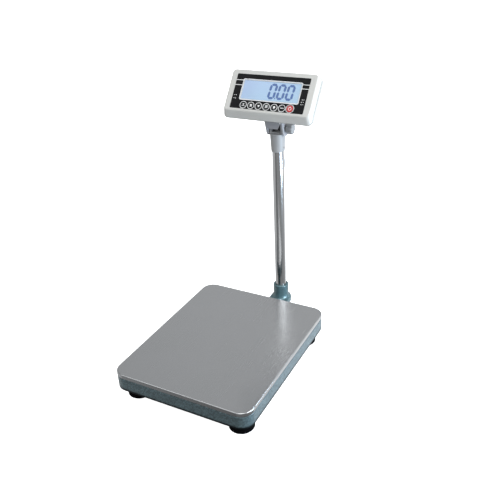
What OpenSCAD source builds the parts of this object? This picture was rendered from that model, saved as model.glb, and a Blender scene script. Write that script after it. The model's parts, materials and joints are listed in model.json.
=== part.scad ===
// Bench scale: a square-cornered weighing platform on four levelling feet, with a pillar behind it
// that carries a tilting indicator. Millimetres, +X right, +Y to the rear, +Z up, floor at z = 0.

/* [Platform] */
// Width of the platform, side to side
platform_w = 420; // [380:10:460]
// Depth of the platform, front to rear
platform_d = 520; // [480:10:560]
// Radius of the platform's corners in plan
corner_r = 37; // [25:1:45]
// Height of the weighing surface above the floor
pan_top_z = 90; // [90:1:96]
// Height of the pan's turned-down skirt
skirt_h = 12; // [10:1:14]
// Thickness of the pan's sheet
pan_t = 1.5; // [1.2:0.1:2]
// Height of the base's underside above the floor
base_z = 37; // [36:1:38]
// Thickness of the base's outer wall
base_wall = 5; // [4:0.5:6]
// Distance of each foot from the platform's side edge
foot_inset_x = 48; // [46:1:60]
// Distance of each foot from the platform's front or rear edge
foot_inset_y = 54; // [50:1:60]
// Diameter of a foot's rubber pad
foot_d = 70; // [50:1:76]

/* [Column] */
// Distance from the platform's rear edge back to the column's axis
column_set_back = 126; // [120:1:150]
// Diameter of the column tube
tube_d = 36; // [32:1:38]
// Wall thickness of the column tube
tube_t = 1.8; // [1.5:0.1:2.5]
// Height of the tube's upper end
tube_top_z = 568; // [500:1:600]
// Width of the arm that carries the column
arm_w = 68; // [64:2:76]

/* [Indicator] */
// Width of the indicator housing
housing_w = 280; // [264:2:300]
// Angle by which the display looks up from the horizontal
face_tilt = 37; // [20:1:45]
// Distance from the tilt pivot forwards to the display face
face_reach = 107; // [104:1:112]
// Distance from the tilt pivot up to the display's centre
face_rise = 62.6; // [60:0.1:66]
// Depth of the housing behind its face
housing_depth = 60; // [56:1:62]
// Width of the black keypad overlay
overlay_w = 232; // [226:1:236]
// Height of the black keypad overlay
overlay_h = 106; // [100:1:107]
// Spacing of the keys
key_pitch = 24.6; // [22:0.2:25]

/* [Hidden] */

$fn = 64;
eps = 0.01;
gap = 0.3;            // clearance between pieces of different bodies
run = 0.05;           // radial running clearance of a shaft in its hole

// The column's rear end and the platform's front edge lie equally far from the origin.
arm_overhang = arm_w / 2;
total_d = platform_d + column_set_back + arm_overhang;
platform_y = (platform_d - total_d) / 2;
rear_edge_y = platform_y + platform_d / 2;
column_y = rear_edge_y + column_set_back;

// Heights in the base, from the floor up
skirt_z = pan_top_z - skirt_h;
rim_z = skirt_z - 1.5;
flange_t = 4;
floor_z = base_z + flange_t;
channel_z = floor_z + 4;
cell_z = channel_z + 4;
cell_h = 22;
support_z = cell_z + cell_h + 4;
support_t = 4;
pan_under_z = pan_top_z - pan_t;

// Places in the base
channel_w = 110;
foot_x = platform_w / 2 - foot_inset_x;
foot_y = platform_d / 2 - foot_inset_y;
stop_x = 130;
stop_y = 162.5;
bumper_x = 160;
bumper_y = 200;
cell_l = 150;
cell_w = 40;
stud_r = 5;

// Column and its arm
tube_r = tube_d / 2;
arm_z = 3;
arm_top_z = 19;
arm_t = 4;
arm_front_y = rear_edge_y - 125;
collar_r = 25;
collar_top_z = 68;
riser_y = [rear_edge_y - 120, rear_edge_y - 10];
bolt_x = 22;
bolt_y = [rear_edge_y - 105, rear_edge_y - 30];
cable_hole_y = rear_edge_y - 68;

// Tilt joint at the top of the column
socket_z = tube_top_z - 30;
socket_top_z = tube_top_z + 27;
pivot_z = tube_top_z + 43;
ear_in = 14;
ear_out = 20;
ear_r = 14;
cheek_in = 22.5;
cheek_out = 28.5;
cheek_r = 24;
bolt_r = 4;

// Indicator housing: x along its width, y up its face, z out of its face
front_w = housing_w - 10;
front_h = 126;
front_v = 2.5;
flare_h = 145;
flare_v = -4.5;
flare_z = -20;
seam_z = -22;
gasket_t = 1;
waist_z = -40;
waist_w = housing_w - 4;
waist_h = 136;
shell_t = 2.6;
overlay_v = -0.8;
lcd_w = 188;
lcd_h = 65;
lcd_u = 1.4;
lcd_v = 5.4;
key_v = -42;
key_r = 8;
power_r = 10;
power_v = -41;
key_count = 6;
cap_bottom_z = -3.4;
digit_h = 47;
digit_w = 23.5;
digit_pitch = 27.5;
digit_slant = 5;
digit_u = 6.5;
digit_v = 1.2;
stroke = 6.5;
point_r = 1.8;
door_u = -70;
door_v = -8;
door_w = 62;
door_h = 84;
gland_v = 14;
dc_u = 84;
dc_v = -30;
rear_w = housing_w - 26;
rear_h = 116;
rear_v = -3;
boss_u = [-116, 116];
boss_v = [-52, 42];

// Cable: outer radius, the free loop behind the column and the stretch inside it
cable_r = 2.5;
loop_route = [[0, 319.7, 696.6], [0, 327.7, 690.6], [0, 335, 684], [0, 341, 675], [0, 345, 663],
    [0, 347, 648], [0, 347, 632], [0, 346, 615], [0, 344, 597], [0, 342, 580], [0, 340, 563],
    [0, 339, 547], [0, 340, 531], [0, 343, 515], [0, 347, 500], [0, 349, 486], [0, 347, 472],
    [0, 341, 461], [0, 332, 454], [0, 322, 453]];
inner_route = [[0, 322, 453], [0, 314, 451], [0, 309, 445], [0, 307, 435], [0, 306, 420],
    [0, 306, 300], [0, 306, 160], [0, 306, 40], [0, 304, 26], [0, 298, 15], [0, 288, 9],
    [0, 272, 8], [0, 220, 8], [0, 132, 8], [0, 120, 10], [0, 113, 18], [0, 112, 36],
    [0, 111, 50], [0, 104, 58], [0, 90, 60], [0, 40, 60], [0, -4, 60]];
cable_entry_z = 453;

// Corner points of a rectangle with rounded corners
function rounded(w, d, r, steps = 8) = [
    for (corner = [0:3], i = [0:steps])
        let (a = 90 * corner + 90 * i / steps,
             sx = (corner == 0 || corner == 3) ? 1 : -1,
             sy = (corner < 2) ? 1 : -1)
        [sx * (w / 2 - r) + r * cos(a), sy * (d / 2 - r) + r * sin(a)]];

// Vector helpers for the cables
function unit(v) = v / norm(v);
function heading(p, i) = unit(p[min(i + 1, len(p) - 1)] - p[max(i - 1, 0)]);
function ring(p, i, r, sides) =
    let (t = heading(p, i), side = [1, 0, 0], up = cross(t, side))
    [for (k = [0:sides - 1]) p[i] + r * (cos(360 * k / sides) * side + sin(360 * k / sides) * up)];

module slab(w, d, r, h, steps = 8) {
    linear_extrude(h) polygon(rounded(w, d, r, steps));
}

module at_platform() {
    translate([0, platform_y, 0]) children();
}

module each_corner(x, y) {
    at_platform() for (sx = [-1, 1], sy = [-1, 1]) translate([sx * x, sy * y, 0]) children();
}

module each_bolt() {
    for (sx = [-1, 1], y = bolt_y) translate([sx * bolt_x, y, 0]) children();
}

module indicator() {
    translate([0, column_y, pivot_z]) rotate([90 - face_tilt, 0, 0])
        translate([0, face_rise, face_reach]) children();
}

module at_pivot() {
    translate([0, -face_rise, -face_reach]) children();
}

module along_x(x) {
    translate([x, 0, 0]) rotate([0, 90, 0]) children();
}

module each_boss() {
    for (u = boss_u, v = boss_v) translate([u, v, 0]) children();
}

module tube_along(p, r, sides = 8) {
    points = [for (i = [0:len(p) - 1]) each ring(p, i, r, sides)];
    last = (len(p) - 1) * sides;
    walls = [for (i = [0:len(p) - 2], k = [0:sides - 1])
        [i * sides + k, i * sides + (k + 1) % sides,
         (i + 1) * sides + (k + 1) % sides, (i + 1) * sides + k]];
    ends = [[for (k = [sides - 1:-1:0]) k], [for (k = [0:sides - 1]) last + k]];
    polyhedron(points, concat(ends, walls));
}

// ---- Base ----

module base_frame() {
    inner_w = platform_w - 2 * base_wall;
    inner_d = platform_d - 2 * base_wall;
    flange_w = 14;
    color("#5c8187") difference() {
        union() {
            at_platform() translate([0, 0, base_z]) difference() {
                slab(platform_w, platform_d, corner_r, rim_z - base_z);
                translate([0, 0, flange_t])
                    slab(inner_w, inner_d, corner_r - base_wall, rim_z);
                translate([0, 0, -1])
                    slab(inner_w - 2 * flange_w, inner_d - 2 * flange_w, 20, rim_z);
            }
            each_corner(foot_x, foot_y) translate([0, 0, base_z]) cylinder(h = 20, r = 17);
            each_corner(foot_x + 17, foot_y) translate([-17, -17, base_z]) cube([34, 34, flange_t]);
            each_corner(foot_x, foot_y + 17) translate([-17, -17, base_z]) cube([34, 34, flange_t]);
            translate([-60, rear_edge_y - 130, base_z]) cube([120, 115, flange_t]);
        }
        each_corner(foot_x, foot_y) translate([0, 0, base_z - 1]) cylinder(h = 30, r = stud_r + run);
        each_bolt() translate([0, 0, base_z - 1]) cylinder(h = 10, r = 4.25);
        translate([0, cable_hole_y, base_z - 1]) cylinder(h = 10, r = 7);
    }
}

module base_channel() {
    l = platform_d - 2 * base_wall - 1;
    color("#5c8187") difference() {
        at_platform() union() {
            translate([-channel_w / 2, -l / 2, floor_z]) cube([channel_w, l, 4]);
            for (sx = [-1, 1]) translate([sx * (channel_w / 2 - 2) - 2, -l / 2, floor_z])
                cube([4, l, 28]);
        }
        each_bolt() translate([0, 0, floor_z - 1]) cylinder(h = 10, r = 4.25);
        translate([0, cable_hole_y, floor_z - 1]) cylinder(h = 10, r = 7);
        at_platform() for (x = [-12, 12], y = [-65, -45]) translate([x, y, floor_z - 1])
            cylinder(h = 10, r = 3.25);
    }
}

module base_crossbars() {
    bar_w = 36;
    inner = channel_w / 2;
    l = platform_w / 2 - base_wall - inner;
    color("#5c8187") difference() {
        at_platform() for (sx = [-1, 1], sy = [-1, 1])
            translate([sx * (inner + l / 2) - l / 2, sy * stop_y - bar_w / 2, floor_z]) cube([l, bar_w, 4]);
        each_corner(stop_x, stop_y) translate([0, 0, floor_z - 1]) cylinder(h = 10, r = 4);
    }
}

module stop_screws() {
    color("#8d8f90") each_corner(stop_x, stop_y) {
        translate([0, 0, floor_z - 3]) cylinder(h = support_z - 1 - floor_z + 3, r = 4);
        translate([0, 0, channel_z]) difference() {
            cylinder(h = 6.5, r = 7.5, $fn = 6);
            translate([0, 0, -1]) cylinder(h = 9, r = 4);
        }
    }
}

module lock_nuts() {
    color("#8d8f90") each_corner(foot_x, foot_y) translate([0, 0, base_z - 7]) difference() {
        cylinder(h = 7, r = 9.8, $fn = 6);
        translate([0, 0, -1]) cylinder(h = 9, r = stud_r + run);
    }
}

module spirit_level() {
    color("#b9cf52") translate([-platform_w / 2 + 44, platform_y, floor_z]) {
        translate([-38, -12, 0]) cube([50, 24, 3]);
        translate([0, 0, 3 - eps]) cylinder(h = 12, r = 11);
    }
}

module load_cell() {
    color("#c3c5c6") at_platform() translate([0, 0, cell_z]) difference() {
        translate([-cell_w / 2, -cell_l / 2, 0]) cube([cell_w, cell_l, cell_h]);
        for (y = [-22, 22]) translate([0, y, cell_h / 2]) along_x(-cell_w / 2 - 1)
            cylinder(h = cell_w + 2, r = 8);
        for (y = [-65, -45, 45, 65], x = [-12, 12]) translate([x, y, -1])
            cylinder(h = cell_h + 2, r = 3.25);
    }
}

module cell_spacers() {
    color("#9a9c9d") at_platform() difference() {
        union() {
            translate([-cell_w / 2, -cell_l / 2, channel_z]) cube([cell_w, 40, 4]);
            translate([-cell_w / 2, cell_l / 2 - 40, cell_z + cell_h]) cube([cell_w, 40, 4]);
        }
        for (y = [-65, -45, 45, 65], x = [-12, 12]) translate([x, y, channel_z - 1])
            cylinder(h = 40, r = 3.25);
    }
}

module cell_bolts() {
    color("#77797a") at_platform() for (x = [-12, 12]) {
        for (y = [-65, -45]) translate([x, y, 0]) {
            translate([0, 0, base_z - 1]) cylinder(h = floor_z - base_z + 1, r = 5);
            translate([0, 0, floor_z - eps]) cylinder(h = cell_z + 15 - floor_z, r = 3.2);
        }
        for (y = [45, 65]) translate([x, y, 0]) {
            translate([0, 0, support_z + support_t]) cylinder(h = 4, r = 5);
            translate([0, 0, cell_z + 6]) cylinder(h = support_z + support_t - cell_z - 6 + eps, r = 3.2);
        }
    }
}

module pan_support() {
    arm = 30;
    reach = norm([bumper_x, bumper_y]);
    color("#5c8187") at_platform() difference() {
        translate([0, 0, support_z]) union() {
            translate([-50, -80, 0]) cube([100, 160, support_t]);
            for (sx = [-1, 1], sy = [-1, 1]) rotate(atan2(sy * bumper_y, sx * bumper_x)) {
                translate([30, -arm / 2, 0]) cube([reach - 30, arm, support_t]);
                translate([reach, 0, 0]) cylinder(h = support_t, r = arm / 2);
            }
        }
        for (x = [-12, 12], y = [45, 65]) translate([x, y, support_z - 1])
            cylinder(h = 10, r = 3.25);
    }
}

module pan_bumpers() {
    color("#202123") each_corner(bumper_x, bumper_y) translate([0, 0, support_z + support_t])
        cylinder(h = pan_under_z - run - support_z - support_t, r1 = 11, r2 = 9);
}

// ---- Feet ----

module foot_at(sx, sy) {
    translate([sx * foot_x, platform_y + sy * foot_y, 0]) children();
}

module foot_pad(sx, sy) {
    r = foot_d / 2;
    color("#1c1d1f") foot_at(sx, sy) difference() {
        rotate_extrude() polygon([[0, 0], [r - 2, 0], [r, 2], [r, 20], [r - 3, 25],
            [r - 11, 28.5], [0, 28.5]]);
        translate([0, 0, 8]) cylinder(h = 30, r = stud_r);
    }
}

module foot_stud(sx, sy) {
    color("#a5a7a8") foot_at(sx, sy) translate([0, 0, 8]) cylinder(h = 54, r = stud_r);
}

// ---- Pan ----

module pan() {
    color("#a9abac") at_platform() translate([0, 0, skirt_z]) difference() {
        slab(platform_w, platform_d, corner_r, skirt_h);
        translate([0, 0, -pan_t])
            slab(platform_w - 2 * pan_t, platform_d - 2 * pan_t, corner_r - pan_t, skirt_h);
    }
}

// ---- Column ----

module bracket_riser() {
    color("#4e6f75") difference() {
        translate([-arm_w / 2, riser_y[0], arm_top_z])
            cube([arm_w, riser_y[1] - riser_y[0], base_z - arm_top_z]);
        each_bolt() translate([0, 0, arm_top_z - 1]) cylinder(h = 30, r = 4.25);
        translate([0, cable_hole_y, arm_top_z - 1]) cylinder(h = 30, r = 7);
    }
}

module arm_plan(t) {
    r = arm_w / 2 - t;
    translate([-r, arm_front_y + t]) square([2 * r, column_y - arm_front_y - t]);
    translate([0, column_y]) circle(r = r);
}

module column_bracket() {
    fillet = 16;
    flare = 8;
    color("#4e6f75") difference() {
        union() {
            translate([0, 0, arm_z]) linear_extrude(arm_top_z - arm_z) arm_plan(0);
            translate([0, column_y, 0]) rotate_extrude() polygon(concat(
                [[0, arm_top_z - 1], [collar_r + flare, arm_top_z - 1]],
                [for (a = [0:15:90])
                    [collar_r + flare - flare * sin(a), arm_top_z + 1 + fillet - fillet * cos(a)]],
                [[collar_r, collar_top_z - 1], [collar_r - 1, collar_top_z], [0, collar_top_z]]));
        }
        translate([0, 0, arm_z - 1]) linear_extrude(arm_top_z - arm_t - arm_z + 1) arm_plan(arm_t);
        translate([0, column_y, arm_top_z]) cylinder(h = collar_top_z, r = tube_r + run);
        translate([0, column_y, arm_z]) cylinder(h = 30, r = tube_r - 4);
        each_bolt() translate([0, 0, arm_z]) cylinder(h = 30, r = 4.25);
        translate([0, cable_hole_y, arm_z]) cylinder(h = 30, r = 7);
        translate([0, column_y, 50]) for (a = [0, 180]) rotate(a) along_x(tube_r - 2)
            cylinder(h = 12, r = 3);
    }
}

module bracket_bolts() {
    color("#8d8f90") each_bolt() {
        translate([0, 0, arm_top_z - arm_t - 6]) cylinder(h = 6, r = 7.5, $fn = 6);
        translate([0, 0, arm_top_z - arm_t - eps]) cylinder(h = channel_z + 10 - arm_top_z + arm_t, r = 4);
        translate([0, 0, channel_z]) difference() {
            cylinder(h = 6.5, r = 7.5, $fn = 6);
            translate([0, 0, -1]) cylinder(h = 9, r = 4);
        }
    }
}

module collar_screws() {
    color("#77797a") translate([0, column_y, 50]) for (a = [0, 180]) rotate(a)
        along_x(tube_r + run) cylinder(h = collar_r - tube_r, r = 3);
}

module column_tube() {
    color("#b4b7b9") difference() {
        translate([0, column_y, arm_top_z]) cylinder(h = tube_top_z - arm_top_z, r = tube_r);
        translate([0, column_y, arm_top_z - 1]) cylinder(h = tube_top_z, r = tube_r - tube_t);
        translate([0, column_y, cable_entry_z]) rotate([-90, 0, 0]) cylinder(h = 30, r = 6);
    }
}

module cable_grommet() {
    flange_r = 8.5;
    color("#1c1d1f") translate([0, column_y, cable_entry_z]) difference() {
        rotate([-90, 0, 0]) {
            translate([0, 0, tube_r - tube_t - 0.6]) cylinder(h = tube_t + 1, r = 6);
            difference() {
                translate([0, 0, tube_r - 4]) cylinder(h = 6.5, r = flange_r);
                rotate([90, 0, 0]) translate([0, 0, -20]) cylinder(h = 40, r = tube_r + run);
            }
        }
        rotate([-90, 0, 0]) translate([0, 0, 10]) cylinder(h = 20, r = cable_r + 0.1);
    }
}

module inner_cable() {
    color("#6b6d6f") tube_along(inner_route, cable_r);
}

module cable_loop() {
    color("#8a8c8e") tube_along(loop_route, cable_r);
}

module column_socket() {
    ear_h = pivot_z - socket_top_z;
    color("#a7a9ac") translate([0, column_y, 0]) difference() {
        union() {
            hull() {
                translate([0, 0, socket_z]) slab(40, 40, 18, 1);
                translate([0, 0, socket_top_z - 1]) slab(44, 46, 19, 1);
            }
            translate([-ear_out, -ear_r, socket_top_z - 1]) cube([2 * ear_out, 2 * ear_r, 6]);
            for (sx = [-1, 1]) {
                translate([sx * (ear_in + ear_out) / 2 - 3, -ear_r, socket_top_z - 1])
                    cube([6, 2 * ear_r, ear_h + 1]);
                translate([0, 0, pivot_z]) along_x(sx * (ear_in + ear_out) / 2 - 3)
                    cylinder(h = 6, r = ear_r);
            }
        }
        translate([0, 0, socket_z - 1]) cylinder(h = 31, r = tube_r + run);
        translate([0, 0, pivot_z]) along_x(-ear_out - 1) cylinder(h = 2 * ear_out + 2, r = bolt_r + run);
        translate([0, 0, socket_z + 12]) for (a = [0, 180]) rotate(a)
            along_x(tube_r - 2) cylinder(h = 12, r = 2.5);
    }
}

module socket_screws() {
    color("#77797a") translate([0, column_y, socket_z + 12]) for (a = [0, 180]) rotate(a)
        along_x(tube_r + run) cylinder(h = 3.5, r = 2.5);
}

// ---- Tilt joint ----

module each_bracket_screw() {
    for (x = [-13, 13], y = [8, 42]) translate([x, y, face_reach - housing_depth]) children();
}

module tilt_bracket() {
    front = face_reach - housing_depth;
    lip_w = 36;
    color("#b1b3b5") indicator() at_pivot() difference() {
        union() {
            for (sx = [-1, 1]) along_x(sx * (cheek_in + cheek_out) / 2 - 3) linear_extrude(6)
                polygon(concat([[-front, 6], [-front, 46], [-front + 12, 46]],
                    [for (a = [105:-15:-105]) cheek_r * [cos(a), sin(a)]]));
            translate([-cheek_out, 2, front - 4]) cube([2 * cheek_out, 48, 4]);
            along_x(-lip_w / 2) linear_extrude(lip_w)
                polygon([[-front, 2], [-front, 7], [-31, -12], [-29, -17]]);
        }
        along_x(-cheek_out - 1) cylinder(h = 2 * cheek_out + 2, r = bolt_r + run);
        each_bracket_screw() translate([0, 0, -5]) cylinder(h = 8, r = 2.2);
    }
}

module tilt_bracket_screws() {
    color("#77797a") indicator() at_pivot() each_bracket_screw() {
        translate([0, 0, -4 - eps]) cylinder(h = 12, r = 2.1);
        translate([0, 0, -6.5]) cylinder(h = 2.5, r = 4);
    }
}

module tilt_bolt() {
    color("#8d8f90") indicator() at_pivot() {
        along_x(-cheek_out - 5.5) cylinder(h = 5.5, r = 7.5, $fn = 6);
        along_x(-cheek_out - eps) cylinder(h = 2 * cheek_out + 16, r = bolt_r);
    }
}

module tilt_bush() {
    color("#1c1d1f") translate([0, column_y, pivot_z]) along_x(-ear_in) difference() {
        cylinder(h = 2 * ear_in, r = 10);
        translate([0, 0, -1]) cylinder(h = 2 * ear_in + 2, r = bolt_r + run);
    }
}

module tilt_washers() {
    color("#cfd0d0") indicator() at_pivot() for (x = [-cheek_in, ear_out + gap]) along_x(x) difference() {
        cylinder(h = cheek_in - ear_out - gap, r = 11);
        translate([0, 0, -1]) cylinder(h = 6, r = bolt_r + run);
    }
}

module tilt_knob() {
    knob_x = cheek_out + 0.5;
    knob_w = 23;
    knob_r = 16;
    color("#9ea0a3") indicator() at_pivot() along_x(knob_x) difference() {
        union() {
            cylinder(h = 4, r = 10);
            translate([0, 0, 3]) cylinder(h = knob_w - 4.5, r = knob_r);
            translate([0, 0, knob_w - 1.5 - eps]) cylinder(h = 1.5, r1 = knob_r, r2 = knob_r - 1.5);
        }
        for (a = [0:45:315]) rotate(a) translate([knob_r + 3, 0, -1]) cylinder(h = knob_w + 4, r = 4.2);
        translate([0, 0, -1]) cylinder(h = 17.5, r = bolt_r + run);
    }
}

// ---- Indicator ----

// A tapering shell outline, from its highest stage to its lowest: each stage is
// [z, width, height, centre, corner radius], and t shrinks it on every side
module loft(stages, t) {
    steps = 6;
    n = 4 * (steps + 1);
    last = (len(stages) - 1) * n;
    points = [for (s = stages, p = rounded(s[1] - 2 * t, s[2] - 2 * t, s[4] - t / 2, steps))
        [p[0], p[1] + s[3], s[0]]];
    walls = [for (j = [0:len(stages) - 2], i = [0:n - 1])
        [j * n + i, j * n + (i + 1) % n, (j + 1) * n + (i + 1) % n, (j + 1) * n + i]];
    ends = [[for (i = [n - 1:-1:0]) i], [for (i = [0:n - 1]) last + i]];
    polyhedron(points, concat(ends, walls));
}

module front_shell() {
    outer = [[0, front_w, front_h, front_v, 10], [flare_z, housing_w, flare_h, flare_v, 12],
        [seam_z, housing_w, flare_h, flare_v, 12]];
    inner = [[-shell_t, front_w, front_h, front_v, 10], [flare_z, housing_w, flare_h, flare_v, 12],
        [seam_z - 1, housing_w, flare_h, flare_v, 12]];
    color("#e2e4dc") indicator() difference() {
        union() {
            difference() {
                loft(outer, 0);
                loft(inner, shell_t);
            }
            each_boss() translate([0, 0, seam_z]) cylinder(h = -seam_z - 1, r = 4.5);
        }
        each_boss() translate([0, 0, seam_z - 1]) cylinder(h = 16, r = 1.65);
        translate([lcd_u, lcd_v, -5]) slab(lcd_w - 7, lcd_h - 7, 3, 6);
        for (i = [0:key_count - 1]) translate([key_u(i), key_v, -5]) cylinder(h = 6, r = key_r + gap);
        translate([key_u(key_count), power_v, -5]) cylinder(h = 6, r = power_r + gap);
    }
}

function key_u(i) = (i - key_count / 2) * key_pitch;

module shell_gasket() {
    color("#3a3c3d") indicator() translate([0, flare_v, seam_z - gasket_t]) difference() {
        slab(housing_w - 0.8, flare_h - 0.8, 11.6, gasket_t, 6);
        translate([0, 0, -1]) slab(housing_w - 2 * shell_t, flare_h - 2 * shell_t, 12 - shell_t / 2, 4, 6);
    }
}

module rear_shell() {
    top = seam_z - gasket_t;
    outer = [[top, housing_w, flare_h, flare_v, 12], [waist_z, waist_w, waist_h, 0, 12],
        [-housing_depth, rear_w, rear_h, rear_v, 10]];
    inner = [[top + 1, housing_w, flare_h, flare_v, 12], [waist_z, waist_w, waist_h, 0, 12],
        [-housing_depth + shell_t, rear_w, rear_h, rear_v, 10]];
    color("#dcded6") indicator() difference() {
        union() {
            difference() {
                loft(outer, 0);
                loft(inner, shell_t);
            }
            each_boss() translate([0, 0, -housing_depth + 1]) cylinder(h = housing_depth + top - 1, r = 4.5);
            translate([door_u - door_w / 2 - 3, door_v - door_h / 2 - 3, -housing_depth + 1])
                cube([door_w + 6, door_h + 6, 5]);
        }
        each_boss() translate([0, 0, -housing_depth - 1]) {
            cylinder(h = housing_depth, r = 1.8);
            cylinder(h = 5, r = 3.4);
        }
        translate([door_u, door_v, -housing_depth - 1])
            slab(door_w + 2 * gap, door_h + 2 * gap, 4, 3.6);
        translate([door_u, door_v, -housing_depth - 1]) slab(door_w - 6, door_h - 6, 3, 9);
        translate([0, gland_v, -housing_depth - 1]) cylinder(h = 6, r = 6.1);
        translate([dc_u, dc_v, -housing_depth - 1]) cylinder(h = 6, r = 5.6);
        at_pivot() each_bracket_screw() translate([0, 0, -1]) cylinder(h = 6, r = 2.2);
    }
}

module shell_screws() {
    color("#77797a") indicator() each_boss() {
        translate([0, 0, -housing_depth + 1.5]) cylinder(h = 2.5, r = 3.1);
        translate([0, 0, -housing_depth + 4 - eps]) cylinder(h = housing_depth - 13, r = 1.6);
    }
}

module overlay() {
    color("#1b1c1e") indicator() difference() {
        translate([0, overlay_v, 0]) slab(overlay_w, overlay_h, 3, 0.4);
        translate([lcd_u, lcd_v, -1]) slab(lcd_w, lcd_h, 5, 3);
        for (i = [0:key_count - 1]) translate([key_u(i), key_v, -1]) cylinder(h = 3, r = key_r + gap);
        translate([key_u(key_count), power_v, -1]) cylinder(h = 3, r = power_r + gap);
    }
}

module overlay_lines() {
    line = 1.6;
    left = overlay_w / 2 - lcd_w / 2 + lcd_u - 0.3;
    right = overlay_w / 2 - lcd_w / 2 - lcd_u - 0.3;
    color("#e8e9e6") indicator() translate([0, 0, 0.4]) {
        for (v = [16.6, 31.8]) translate([-overlay_w / 2, v, 0]) cube([left, line, 0.15]);
        for (v = [19.2, 31.5]) translate([overlay_w / 2 - right, v, 0]) cube([right, line, 0.15]);
    }
}

module lcd_frame() {
    color("#eceef0") indicator() translate([lcd_u, lcd_v, 0]) difference() {
        slab(lcd_w, lcd_h, 5, 0.6);
        translate([0, 0, -1]) slab(lcd_w - 4, lcd_h - 4, 3.5, 3);
    }
}

module lcd_window() {
    color("#cfdcea", 0.3) indicator() translate([lcd_u, lcd_v, 0]) slab(lcd_w - 4, lcd_h - 4, 3.5, 0.4);
}

module lcd_panel() {
    color("#a9c6ea") indicator() translate([lcd_u, lcd_v, -shell_t - 2.4]) slab(lcd_w, lcd_h, 2, 2);
}

module segment(x, y, turned) {
    l = turned ? digit_h / 2 - stroke : digit_w - stroke;
    translate([x + y * tan(digit_slant), y, 0]) rotate(turned ? 90 - digit_slant : 0) linear_extrude(0.2)
        polygon([[-l / 2, 0], [-l / 2 + stroke / 2, stroke / 2], [l / 2 - stroke / 2, stroke / 2],
            [l / 2, 0], [l / 2 - stroke / 2, -stroke / 2], [-l / 2 + stroke / 2, -stroke / 2]]);
}

module digit_zero() {
    half = (digit_h - stroke) / 2;
    for (sy = [-1, 1]) segment(0, sy * half, false);
    for (sx = [-1, 1], sy = [-1, 1]) segment(sx * (digit_w - stroke) / 2, sy * half / 2, true);
}

module lcd_digits() {
    color("#46719f") indicator() translate([0, lcd_v + digit_v, -shell_t - 0.4]) {
        for (i = [0:2]) translate([digit_u + i * digit_pitch, 0, 0]) digit_zero();
        translate([digit_u + digit_pitch / 2 - point_r, -(digit_h - stroke) / 2, 0])
            cylinder(h = 0.2, r = point_r);
    }
}

module lcd_backlight() {
    color("#f0f0ea") indicator() translate([lcd_u, lcd_v, -shell_t - 6.5]) slab(lcd_w, lcd_h, 2, 4);
}

module keypad_board() {
    color("#2f6b45") indicator() translate([0, -43, -5.6]) slab(176, 24, 2, 1.6);
}

module main_board() {
    color("#2f6b45") indicator() translate([26, 8, -22]) slab(150, 80, 3, 1.6);
}

module battery() {
    color("#3f5f8c") indicator() translate([door_u, door_v, -housing_depth + 7]) slab(54, 76, 3, 24);
}

module battery_door() {
    color("#d5d7cf") indicator() translate([door_u, door_v, -housing_depth]) difference() {
        slab(door_w, door_h, 4, 2.2);
        for (i = [-2:2]) translate([-12, door_h / 2 - 12 + i * 3, -0.5]) cube([24, 1.2, 1]);
    }
}

module dc_socket() {
    color("#26272a") indicator() translate([dc_u, dc_v, -housing_depth]) difference() {
        union() {
            translate([0, 0, -1.5]) cylinder(h = 1.5, r = 7.5);
            translate([0, 0, -eps]) cylinder(h = 12, r = 5.5);
        }
        translate([0, 0, -2]) cylinder(h = 11, r = 2.75);
    }
}

module cable_gland() {
    color("#2a2b2d") indicator() translate([0, gland_v, -housing_depth]) rotate([180, 0, 0]) difference() {
        union() {
            translate([0, 0, -4]) cylinder(h = 4 + eps, r = 6);
            cylinder(h = 4, r = 9, $fn = 6);
            translate([0, 0, 4 - eps]) cylinder(h = 9, r1 = 7, r2 = 5.2);
        }
        translate([0, 0, -6]) cylinder(h = 30, r = cable_r + gap);
    }
}

module key_cap(i, v, r) {
    indicator() translate([key_u(i), v, 0]) {
        translate([0, 0, cap_bottom_z]) cylinder(h = 0.5, r = r + 1);
        translate([0, 0, cap_bottom_z + 0.5 - eps]) cylinder(h = 1 - cap_bottom_z - 0.5 - 0.3, r = r);
        translate([0, 0, 0.7 - eps]) cylinder(h = 0.3, r1 = r, r2 = r - 0.6);
    }
}

module key_1() {
    color("#26272a") key_cap(0, key_v, key_r);
}

module key_2() {
    color("#26272a") key_cap(1, key_v, key_r);
}

module key_3() {
    color("#26272a") key_cap(2, key_v, key_r);
}

module key_4() {
    color("#26272a") key_cap(3, key_v, key_r);
}

module key_5() {
    color("#26272a") key_cap(4, key_v, key_r);
}

module key_6() {
    color("#26272a") key_cap(5, key_v, key_r);
}

module power_key() {
    color("#c23a35") key_cap(key_count, power_v, power_r);
}

module foot_pad_fl() {
    foot_pad(-1, -1);
}

module foot_stud_fl() {
    foot_stud(-1, -1);
}

module foot_pad_fr() {
    foot_pad(1, -1);
}

module foot_stud_fr() {
    foot_stud(1, -1);
}

module foot_pad_rl() {
    foot_pad(-1, 1);
}

module foot_stud_rl() {
    foot_stud(-1, 1);
}

module foot_pad_rr() {
    foot_pad(1, 1);
}

module foot_stud_rr() {
    foot_stud(1, 1);
}

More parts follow.
